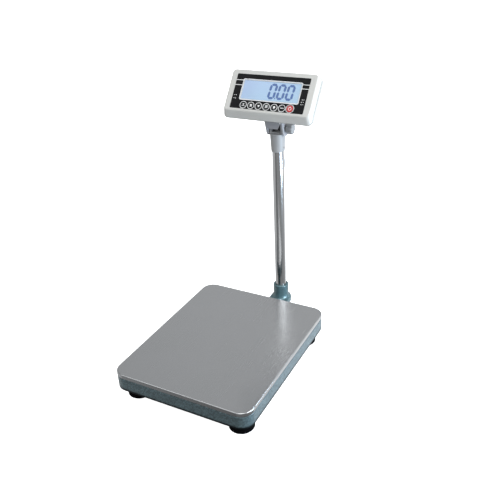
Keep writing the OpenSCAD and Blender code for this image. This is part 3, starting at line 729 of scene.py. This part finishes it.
def make_level():
    """Round spirit level: a plate, a domed vial with its liquid and a ring mark."""
    low, high = (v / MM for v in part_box("spirit_level"))
    cx, cy, cz = low.x + 38, (low.y + high.y) / 2, low.z
    place = MODEL @ Matrix.Translation((cx, cy, cz))
    s = Shape()
    s.stack([(0, 49, 23, 2.4, -13, 0), (0.5, 50, 24, 2.8, -13, 0), (2.5, 50, 24, 2.8, -13, 0),
             (3, 49, 23, 2.4, -13, 0)], slot=1)
    s.lathe([(11, 3)] + bend((11, 12.6), (11, 15), (8.6, 15)) + [(7.6, 15), (7.4, 14.6)], 56, 1)
    s.lathe([(7.3, 13.6)] + [(7.3 * math.cos(a), 14.2 + 0.7 * math.sin(a)) for a in
                             (0.1, 0.5, 0.9, 1.3)] + [(0.3, 14.9)], 48, 0)
    s.pipe([(3.2, 14.75), (3.5, 14.75), (3.5, 15.0), (3.2, 15.0)], 40, 2)
    slots = ["level_vial", "zinc", "black_plastic"]
    put(s.finish("round_level", slots, place, 40), "base", "spirit_level")


# ---------------------------------------------------------------- column

def make_bracket():
    """The arm, a channel open below, and the collar that clamps the tube at its rear."""
    low, high = (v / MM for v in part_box("column_bracket"))
    foot, top, t = low.z, 19, 4

    def arm(z, by):
        """The arm's outline at one height: square in front, and round the column at its rear."""
        half, front, corner = high.x - by, low.y + by, max(4 - by, 1.0)
        rear = [(half * math.cos(a), column_y + half * math.sin(a)) for a in
                (math.pi / 40 * i for i in range(41))]
        left = bend((-half, front + corner), (-half, front), (corner - half, front), 5)
        right = bend((half - corner, front), (half, front), (half, front + corner), 5)
        return [(x, y, z) for x, y in rear + left + right]

    path = [(top - t, t + 3)] + bend((top - t, t + 1.5), (top - t, t), (top - t - 1.5, t))
    path += [(foot + 0.6, t), (foot, t - 0.6), (foot, 0.6), (foot + 0.6, 0)]
    path += bend((top - 3, 0), (top, 0), (top, 3)) + [(top, 4)]
    s = Shape()
    s.rings([arm(z, by) for z, by in path])
    arm_piece = s.finish("column_arm", ["arm_paint"], MODEL, weighted=False)
    r, collar_top, fillet = 25, high.z, 16
    flare = [(r + 8 - 8 * math.sin(a), top + 1 + fillet - fillet * math.cos(a))
             for a in (math.pi / 20 * i for i in range(11))]
    path = [(TUBE_R + 0.1, 16), (r + 8, 16)] + flare
    path += bend((r, collar_top - 2), (r, collar_top), (r - 2, collar_top))
    path += [(TUBE_R + 0.9, collar_top), (TUBE_R + 0.1, collar_top - 0.8)]
    s = Shape()
    s.pipe(path, 96)
    collar = s.finish("collar", ["arm_paint"], AT_COLUMN, weighted=False)
    boolean(arm_piece, [collar], "UNION")
    cuts = [solid_cylinder(17.5, 0, 40, AT_COLUMN, 96)]
    holes = [(7, 0, 68)] + [(4.25, x, forward) for x in (-22, 22) for forward in (105, 30)]
    for hole_r, x, forward in holes:
        at = MODEL @ Matrix.Translation((x, pan_high.y - forward, 0))
        cuts.append(solid_cylinder(hole_r, 0, 40, at))
    turned = AT_COLUMN @ Matrix.Translation((0, 0, GRUB_SCREW_Z)) @ ALONG_X
    cuts.append(solid_cylinder(3.1, -40, 40, turned, 32))
    boolean(arm_piece, cuts)
    put(polish(arm_piece, 38), "base", "column_bracket")


def make_collar_screws():
    """Socket-head grub screws that clamp the tube, one each side of the collar."""
    s = Shape()
    for side in (-1, 1):
        loops = []
        for r, out in ((2.9, 18.1), (2.9, 24.2), (2.5, 24.6), (1.6, 24.6), (1.5, 22.6)):
            loops.append([(side * out, y, z) for y, z in circle(r, 24)])
        s.rings(loops)
    place = AT_COLUMN @ Matrix.Translation((0, 0, GRUB_SCREW_Z))
    put(s.finish("collar_grub_screws", ["dark_steel"], place, 40), "base", "collar_screws")


def make_tube():
    """The column's tube, open at both ends, with the hole that its grommet sits in."""
    low, high = (v.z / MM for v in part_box("column_tube"))
    r, t = TUBE_R, 1.8
    s = Shape()
    s.pipe([(r - t, low + 0.3), (r - t + 0.3, low), (r - 0.3, low), (r, low + 0.3), (r, high - 0.3),
            (r - 0.3, high), (r - t + 0.3, high), (r - t, high - 0.3)], 128)
    tube = s.finish("column_pipe", ["tube_steel"], AT_COLUMN, weighted=False)
    entry = centre_of("cable_grommet").z / MM
    sideways = AT_COLUMN @ Matrix.Translation((0, 0, entry)) @ Matrix.Rotation(math.radians(-90), 4, "X")
    boolean(tube, [solid_cylinder(6.05, 5, 30, sideways)])
    put(polish(tube, 30), "base", "column_tube")


def cheek(outline, x0, x1, edge=0.8):
    """A flat plate in the y-z plane with softened edges, from x0 to x1."""
    s = Shape()
    c = Vector((sum(p[0] for p in outline) / len(outline), sum(p[1] for p in outline) / len(outline)))
    loops = []
    for x, by in ((x0, edge), (x0 + edge * 0.3, edge * 0.3), (x0 + edge, 0), (x1 - edge, 0),
                  (x1 - edge * 0.3, edge * 0.3), (x1, edge)):
        ring = []
        for p in outline:
            d = Vector(p) - c
            ring.append((x, *(c + d * (1 - by / max(d.length, 1)))))
        loops.append(ring)
    s.rings(loops)
    return s


def make_socket():
    """The moulded head on the tube, which widens upward to a saddle and two ears for the tilt bolt."""
    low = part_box("column_socket")[0].z / MM
    top = low + 57
    p = pivot.z / MM
    s = Shape()
    path = [(low, 38.2, 38.2, 17.4), (low + 0.5, 39.6, 39.6, 17.9), (low + 1.6, 40, 40, 18)]
    path += [(top - 3.0, 43.8, 45.7, 18.9), (top - 1.0, 43.4, 45.2, 18.6)]
    path += [(top - 0.2, 42.0, 43.8, 17.9), (top, 40.0, 41.8, 17.0)]
    s.stack([(z, w, d, r, 0, 0) for z, w, d, r in path])
    body = s.finish("column_head", ["socket_plastic"], AT_COLUMN, weighted=False)
    ear_top = [(14 * math.cos(a), p + 14 * math.sin(a)) for a in (math.pi / 16 * i for i in range(17))]
    outline = [(-15.5, top - 2), (15.5, top - 2), (14, top + 1), (14, top + 5)] + ear_top
    outline += [(-14, top + 5), (-14, top + 1)]
    for x0, x1 in ((-20, -14), (14, 20)):
        ear = cheek(outline, x0, x1).finish("ear", ["socket_plastic"], AT_COLUMN, weighted=False)
        boolean(body, [ear], "UNION")
    s = Shape()
    saddle = [(top - 2, 38, 28), (top + 4.2, 38, 28), (top + 5, 36.6, 26.6)]
    s.stack([(z, w, d, 1, 0, 0) for z, w, d in saddle], steps=3)
    boolean(body, [s.finish("saddle", ["socket_plastic"], AT_COLUMN, weighted=False)], "UNION")
    across = AT_COLUMN @ Matrix.Translation((0, 0, p)) @ ALONG_X
    side = AT_COLUMN @ Matrix.Translation((0, 0, low + 12)) @ ALONG_X
    boolean(body, [solid_cylinder(TUBE_R + 0.05, low - 2, low + 30, AT_COLUMN, 96),
                   solid_cylinder(TILT_BORE_R, -30, 30, across), solid_cylinder(2.55, -40, 40, side, 32)])
    put(polish(body, 34), "base", "column_socket")


def make_bush():
    """The black spacer sleeve round the tilt bolt, between the head's ears."""
    s = Shape()
    half = 13.9
    right = [(9.2, 6.2), (10, 7), (10, half - 0.6), (9.3, half + 0.1), (4.5, half + 0.1)]
    right += [(TILT_BORE_R, half)]
    s.pipe([(r, -x) for r, x in reversed(right)] + right, 56)
    place = AT_COLUMN @ Matrix.Translation((0, 0, pivot.z / MM)) @ ALONG_X
    put(s.finish("tilt_sleeve", ["black_plastic"], place, 40), "base", "tilt_bush")


# ---------------------------------------------------------------- tilt joint

def make_tilt_bracket():
    """The yoke behind the display: a plate, two cheeks beside the head and a lip."""
    front = FACE_REACH - DEPTH
    cheek_r, cheek_in, cheek_out = 24, 22.5, 28.5
    arc = [(cheek_r * math.cos(a), cheek_r * math.sin(a)) for a in
           (math.radians(105 - 210 * i / 24) for i in range(25))]

    def turned(points):
        """Points drawn as (back from the tilt axis, up the face), in the pivot's frame."""
        return [(y, -x) for x, y in points]

    outline = turned(soften([(-front, 6), (-front, 46), (-front + 12, 46)], 3) + arc)
    body = None
    for x0, x1 in ((-cheek_out, -cheek_in), (cheek_in, cheek_out)):
        side = cheek(outline, x0, x1)
        side = side.finish("tilt_bracket_body", ["bracket_paint"], AT_PIVOT, weighted=False)
        body = side if body is None else boolean(body, [side], "UNION")
    s = Shape()
    s.stack([(z, w, h, r, 0, 24.5) for z, w, h, r in
             ((front - 4, 55.6, 49.6, 3), (front - 3.3, 57, 51, 3.6), (front, 57, 51, 3.6))], steps=5)
    boolean(body, [s.finish("plate", ["bracket_paint"], AT_PIVOT, weighted=False)], "UNION")
    lip = turned(soften([(-front, 2), (-front, 7), (-31, -12), (-29, -17)], 0.9, 3, True))
    root = turned(soften([(-front, 2), (-front, 7), (-39, -2), (-38, -6)], 0.9, 3, True))
    s = Shape()
    s.rings([[(x, *q) for q in end] for x, end in ((-23, root), (-16, lip), (16, lip), (23, root))])
    boolean(body, [s.finish("lip", ["bracket_paint"], AT_PIVOT, weighted=False)], "UNION")
    boolean(body, [solid_cylinder(TILT_BORE_R, -40, 40, AT_PIVOT @ ALONG_X)])
    put(polish(body, 34), "indicator", "tilt_bracket")


def make_knob():
    """A fluted clamp knob: a hub, eight lobes, a domed face and a recessed cap."""
    r, w, lobes, flute_depth = 16, 23, 8, 2.6
    path = [(7.5, 0.0), (9.4, 0.0), (10, 0.6), (10, 3.4), (12, 3.6)]
    path += bend((14.2, 3.6), (r, 3.6), (r, 5.6)) + bend((r, w - 4), (r, w - 1), (r - 3, w - 0.4))
    path += [(11.5, w), (10.6, w - 0.1), (10.2, w - 0.9), (6, w - 0.5), (0.4, w - 0.35)]
    s = Shape()
    loops = []
    steps = 128
    for radius, z in path:
        deep = flute_depth * max(0.0, min(1.0, (radius - 11.8) / 3.0)) if z > 3 else 0.0
        ring = []
        for i in range(steps):
            a = 2 * math.pi * i / steps
            flute = deep * max(0.0, math.cos(lobes * a)) ** 1.4
            ring.append(((radius - flute) * math.cos(a), (radius - flute) * math.sin(a), z))
        loops.append(ring)
    s.rings(loops)
    place = AT_PIVOT @ Matrix.Translation((29, 0, 0)) @ ALONG_X
    put(s.finish("clamp_knob", ["knob_plastic"], place, 40), "tilt_knob", "tilt_knob")


# ---------------------------------------------------------------- indicator housing

# Outlines from the face back to the rear: width, height, and how far the centre is above the face's
FRONT = (270, 126, 2.5)
FLARE = (280, 145, -4.5)
WAIST = (276, 136, 0)
BACK = (254, 116, -3)


def outline_at(z, size, by, r):
    """One of the outlines at depth z, drawn in by that much, with corners of radius r."""
    w, h, v = size
    return (z, w - 2 * by, h - 2 * by, max(r - by, 1.5), 0, v)


def key_u(i):
    return (i - 3) * KEY_PITCH


def make_front_housing():
    """The front shell, with openings for the display and the keys."""
    t = SHELL_T
    stages = [outline_at(0, FRONT, 14, 10), outline_at(0, FRONT, 6.0, 10)]
    stages += [outline_at(z, mix(FRONT, FLARE, -z / 20), by, 11) for z, by in
               bend((0, 3.0), (0, 0), (-3.0, 0), 6)]
    stages += [outline_at(-17.5, mix(FRONT, FLARE, 17.5 / 20), 0, 12),
               outline_at(-19.4, mix(FRONT, FLARE, 19.2 / 20), 0, 12)]
    stages += [outline_at(z, FLARE, by, 12) for z, by in
               ((-20.4, 0), (-21.0, 0), (-21.5, 0.5), (-21.5, t), (-20.5, t))]
    stages += [outline_at(-6, mix(FRONT, FLARE, 0.26), t, 12), outline_at(-3.6, FRONT, t + 1.5, 11),
               outline_at(-t, FRONT, t + 4, 10), outline_at(-t, FRONT, 14, 10)]
    s = Shape()
    s.stack(list(reversed(stages)), steps=12)
    body = s.finish("front_housing", ["housing_plastic"], AT_FACE, weighted=False)
    cuts = [solid_slab(181, 58, 3, -12, 6, AT_FACE, LCD_U, LCD_V)]
    keys = [(8.3, i, KEY_V) for i in range(6)] + [(10.3, 6, POWER_V)]
    for r, i, v in keys:
        cuts.append(solid_cylinder(r, -12, 6, AT_FACE @ Matrix.Translation((key_u(i), v, 0))))
    boolean(body, cuts)
    put(polish(body, 32), "indicator", "front_shell")


def make_rear_housing():
    """The rear shell, with the battery's recess and the holes."""
    t = SHELL_T
    outer = [outline_at(-23.5, FLARE, 0.5, 12), outline_at(-24, FLARE, 0, 12),
             outline_at(-37.5, mix(FLARE, WAIST, 14.5 / 17), 0, 12),
             outline_at(-40.2, mix(WAIST, BACK, 0.02), 0.2, 12),
             outline_at(-42.5, mix(WAIST, BACK, 0.125), 0, 12)]
    outer += [outline_at(z, mix(WAIST, BACK, (-z - 40) / 20), by, 11) for z, by in
              bend((-54.5, 0), (-DEPTH, 0), (-DEPTH, 5), 6)]
    outer += [outline_at(-DEPTH, BACK, 9, 11), outline_at(-DEPTH, BACK, 20, 12)]
    inner = [outline_at(t - DEPTH, BACK, 20, 12), outline_at(t - DEPTH, BACK, 6, 10),
             outline_at(-56, BACK, 3.2, 10), outline_at(-40, WAIST, t, 12),
             outline_at(-23.5, FLARE, t, 12)]
    s = Shape()
    s.stack(list(reversed(inner + outer)), steps=12)
    body = s.finish("rear_housing", ["housing_plastic"], AT_FACE, weighted=False)
    cuts = [solid_slab(62.6, 84.6, 3.9, -66, -57, AT_FACE, DOOR_U, DOOR_V),
            solid_slab(56, 78, 3, -58, -50, AT_FACE, DOOR_U, DOOR_V)]
    for u in (-116, 116):
        for v in (-52, 42):
            cuts.append(solid_cylinder(3.4, -66, -56, AT_FACE @ Matrix.Translation((u, v, 0)), 40))
    for r, u, v in ((6.1, 0, GLAND_V), (5.6, INLET_U, INLET_V)):
        cuts.append(solid_cylinder(r, -66, -54, AT_FACE @ Matrix.Translation((u, v, 0))))
    boolean(body, cuts)
    put(polish(body, 32), "indicator", "rear_shell")


def make_gasket():
    """The soft dark strip in the groove between the two halves of the housing."""
    s = Shape()
    s.stack([outline_at(z, FLARE, by, 12) for z, by in
             ((-23.9, 0.5), (-23.5, 0.2), (-21.7, 0.2), (-21.3, 0.5), (-21.3, 2.5), (-23.9, 2.5))],
            caps=False, closed=True, steps=12)
    put(s.finish("seam_strip", ["gasket_rubber"], AT_FACE, 40), "indicator", "shell_gasket")


def make_door():
    s = Shape()
    path = [(-57.8, 62, 84, 4), (-59.4, 62, 84, 4), (-59.9, 61.2, 83.2, 3.6), (-60, 60.4, 82.4, 3.2)]
    s.stack([(z, w, h, r, 0, 0) for z, w, h, r in reversed(path)])
    place = AT_FACE @ Matrix.Translation((DOOR_U, DOOR_V, 0))
    door = s.finish("battery_cover", ["housing_plastic"], place, weighted=False)
    grips = [solid_slab(24, 1.4, 0.6, -61, -59.3, place, 0, 30 + 3 * i) for i in range(-2, 3)]
    boolean(door, grips)
    put(polish(door, 32), "battery_door", "battery_door")


def make_gland():
    """The cable's gland: a hexagon, a tapering sleeve with three ribs, and a spigot through the shell."""
    s = Shape()
    place = AT_FACE @ Matrix.Translation((0, GLAND_V, -DEPTH)) @ Matrix.Rotation(math.pi, 4, "X")
    bore_r = 2.8
    nut(s, 0, 0, 0, 4, 17.4, bore_r)
    sleeve = [(bore_r, 3.8), (7, 3.8)] + bend((7, 6), (6.6, 10.5), (5.2, 12.4))
    s.pipe(sleeve + [(4.6, 13), (3.2, 13), (bore_r, 12.6)], 56)
    for i in range(3):
        rib_r, z = 7.15 - 0.45 * i, 6.2 + 2 * i
        s.pipe([(5.6, z), (rib_r, z), (rib_r, z + 0.8), (5.4, z + 0.8)], 56)
    s.pipe([(bore_r, -3.9), (5.9, -3.9), (5.9, 0.2), (bore_r, 0.2)], 48)
    put(s.finish("cable_strain_relief", ["black_plastic"], place, 40), "indicator", "cable_gland")


def make_dc_inlet():
    s = Shape()
    place = AT_FACE @ Matrix.Translation((INLET_U, INLET_V, -DEPTH)) @ Matrix.Rotation(math.pi, 4, "X")
    bore_r, back = 2.75, -12
    s.pipe([(bore_r, 1.2), (3.05, 1.5), (7.1, 1.5), (7.5, 1.1), (7.5, 0), (5.5, 0), (5.5, back),
            (bore_r, back)], 56)
    s.lathe([(bore_r, back), (bore_r, -9.0)], 32)
    s.lathe([(0.9, -9), (0.9, -1.4), (0.5, -0.9)], 24, 1)
    put(s.finish("power_inlet", ["black_plastic", "zinc"], place, 40), "indicator", "dc_socket")


# ---------------------------------------------------------------- keys and printed marks

def ring_mark(s, r, width, low, high, slot, x=0.0, y=0.0):
    s.pipe([(r - width, low), (r, low), (r, high), (r - width, high)], 56, slot, (x, y))


def bar(x, y, w, h):
    return [(x + sx * w / 2, y + sy * h / 2) for sx, sy in ((-1, -1), (1, -1), (1, 1), (-1, 1))]


def arrow(x, y, size, turn):
    points = [(0, size), (-size * 0.85, -size * 0.5), (size * 0.85, -size * 0.5)]
    c, k = math.cos(turn), math.sin(turn)
    return [(x + px * c - py * k, y + px * k + py * c) for px, py in points]


def key_icon(s, i, low, high):
    """A plain picture on each key, in print: pan, box, arrow, bars, lamp or dots."""
    if i == 0:
        s.prism(bar(0.6, -2.6, 9.4, 1.5), low, high, 1)
        s.prism(arrow(0.6, 2.0, 3.4, math.pi), low, high, 1)
    elif i == 1:
        s.prism(bar(0.6, -2.8, 8.4, 1.5), low, high, 1)
        s.prism(rounded(6.4, 4.6, 0.8, 0.6, 1.4, 3), low, high, 1)
    elif i == 2:
        s.prism(arrow(0.6, 0.4, 4.6, math.pi), low, high, 1)
    elif i == 3:
        for k in (-1, 0, 1):
            s.prism(bar(0.6, 2.9 * k + 0.6, 7.8, 1.6), low, high, 1)
    elif i == 4:
        s.prism(circle(3.3, 28, 0.6, 1.2), low, high, 1)
        s.prism(bar(0.6, -3.4, 3.2, 1.6), low, high, 1)
    else:
        for k in (-1, 0, 1):
            s.prism(circle(1.5, 20, 3.7 * k + 0.3, 0.4), low, high, 1)


def make_key(name, i, v, r, cap):
    """A key's cap with its flange and its picture; the power key has a broken ring and a bar."""
    place = AT_FACE @ Matrix.Translation((key_u(i), v, 0))
    s = Shape()
    path = [(r + 0.9, -3.4), (r + 1, -3.3), (r + 1, -3.0), (r + 0.9, -2.9), (r, -2.9)]
    path += bend((r, 0.0), (r, 0.8), (r - 0.9, 0.85)) + [(r - 1.4, 0.85), (r * 0.5, 0.78), (0.3, 0.76)]
    s.lathe(path, 72)
    if name == "power_key":
        ring_mark(s, 5.0, 1.3, 0.6, 0.97, 1)
        s.prism(bar(0, 4.4, 3.0, 3.4), 0.62, 0.94)
        s.prism(bar(0, 4.2, 1.3, 4.4), 0.65, 0.98, 1)
    else:
        key_icon(s, i, 0.6, 0.97)
    put(s.finish(name + "_cap", [cap, "print_white"], place, 38), name, name)


def segment(length, width, turn):
    """One bar of a digit, pointed at both ends."""
    a, b = length / 2, width / 2
    c, k = math.cos(turn), math.sin(turn)
    points = ((-a, 0), (b - a, -b), (a - b, -b), (a, 0), (a - b, b), (b - a, b))
    return [(px * c - py * k, px * k + py * c) for px, py in points]


def make_digits():
    """The reading 0.00 in seven-segment digits that lean to the right."""
    half_w, half_h, stroke, point_r = 8.5, 20.25, 7.2, 2.0
    lean, low, high = math.radians(5), -3.0, -2.8
    across, upright = segment(16.3, stroke, 0), segment(19.3, stroke, math.pi / 2 - lean)
    zero = [(across, 0, sy * half_h) for sy in (-1, 1)]
    zero += [(upright, sx * half_w, sy * half_h / 2) for sx in (-1, 1) for sy in (-1, 1)]
    s = Shape()
    for i in range(3):
        for outline, x, y in zero:
            u, v = DIGIT_U + i * DIGIT_PITCH + x + y * math.tan(lean), DIGIT_V + y
            s.prism([(u + px, v + py) for px, py in outline], low, high)
    point_u = DIGIT_U + DIGIT_PITCH / 2 - 1.8
    s.prism(circle(point_r, 24, point_u, DIGIT_V - half_h), low, high)
    digits = s.finish("digit_segments", ["lcd_segment"], AT_FACE, 30, weighted=False)
    put(digits, "indicator", "lcd_digits")


def make_marks():
    """Plain marks printed on the overlay: arrows beside the display, and a ring round every key."""
    s = Shape()
    low, high = 0.36, 0.5
    for i in range(6):
        ring_mark(s, 11.0, 1.5, low, high, 0, key_u(i), KEY_V)
    ring_mark(s, 12.6, 1.3, low, high, 0, key_u(6), POWER_V)
    for side, heights in ((-1, (-14, -24)), (1, (-12, -19, -26))):
        for v in heights:
            s.prism(arrow(side * 104, v, 1.9, side * math.pi / 2), low, high)
            s.prism(bar(side * 109.5, v, 3.4, 1.0), low, high)
    put(s.finish("overlay_marks", ["print_white"], AT_FACE, 30, weighted=False), "indicator")


# ---------------------------------------------------------------- CAD nodes that stay, and the stage

def dress_cad():
    """Gives every CAD node that shows its procedural material, by its slot in the record."""
    slots = {p["node"]: p["material_slot"] for p in record["subparts"]}
    for name, obj in nodes.items():
        obj.data.materials.clear()
        obj.data.materials.append(paint[slots[name]])


def make_floor():
    half, below = 40, 0.0005
    s = Shape()
    s.face(s.ring([(x * half, y * half, -below) for x, y in ((-1, -1), (1, -1), (1, 1), (-1, 1))]))
    floor = s.finish("floor", ["stage_floor"], None, weighted=False)
    del floor["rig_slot"]
    floor.visible_glossy = False
    floor.visible_diffuse = False


camera()
make_cable()
lights()
dress_cad()
make_pan()
make_base()
FEET = {"fl": "foot_front_left", "fr": "foot_front_right",
        "rl": "foot_rear_left", "rr": "foot_rear_right"}
for corner, body in FEET.items():
    make_foot(corner, body)
make_nuts()
make_level()
make_bracket()
make_collar_screws()
make_tube()
make_socket()
make_bush()
make_tilt_bracket()
make_knob()
make_front_housing()
make_rear_housing()
make_gasket()
make_door()
make_gland()
make_dc_inlet()
for i in range(6):
    make_key(f"key_{i + 1}", i, KEY_V, 8, "key_black")
make_key("power_key", 6, POWER_V, 10, "key_red")
make_digits()
make_marks()
make_floor()
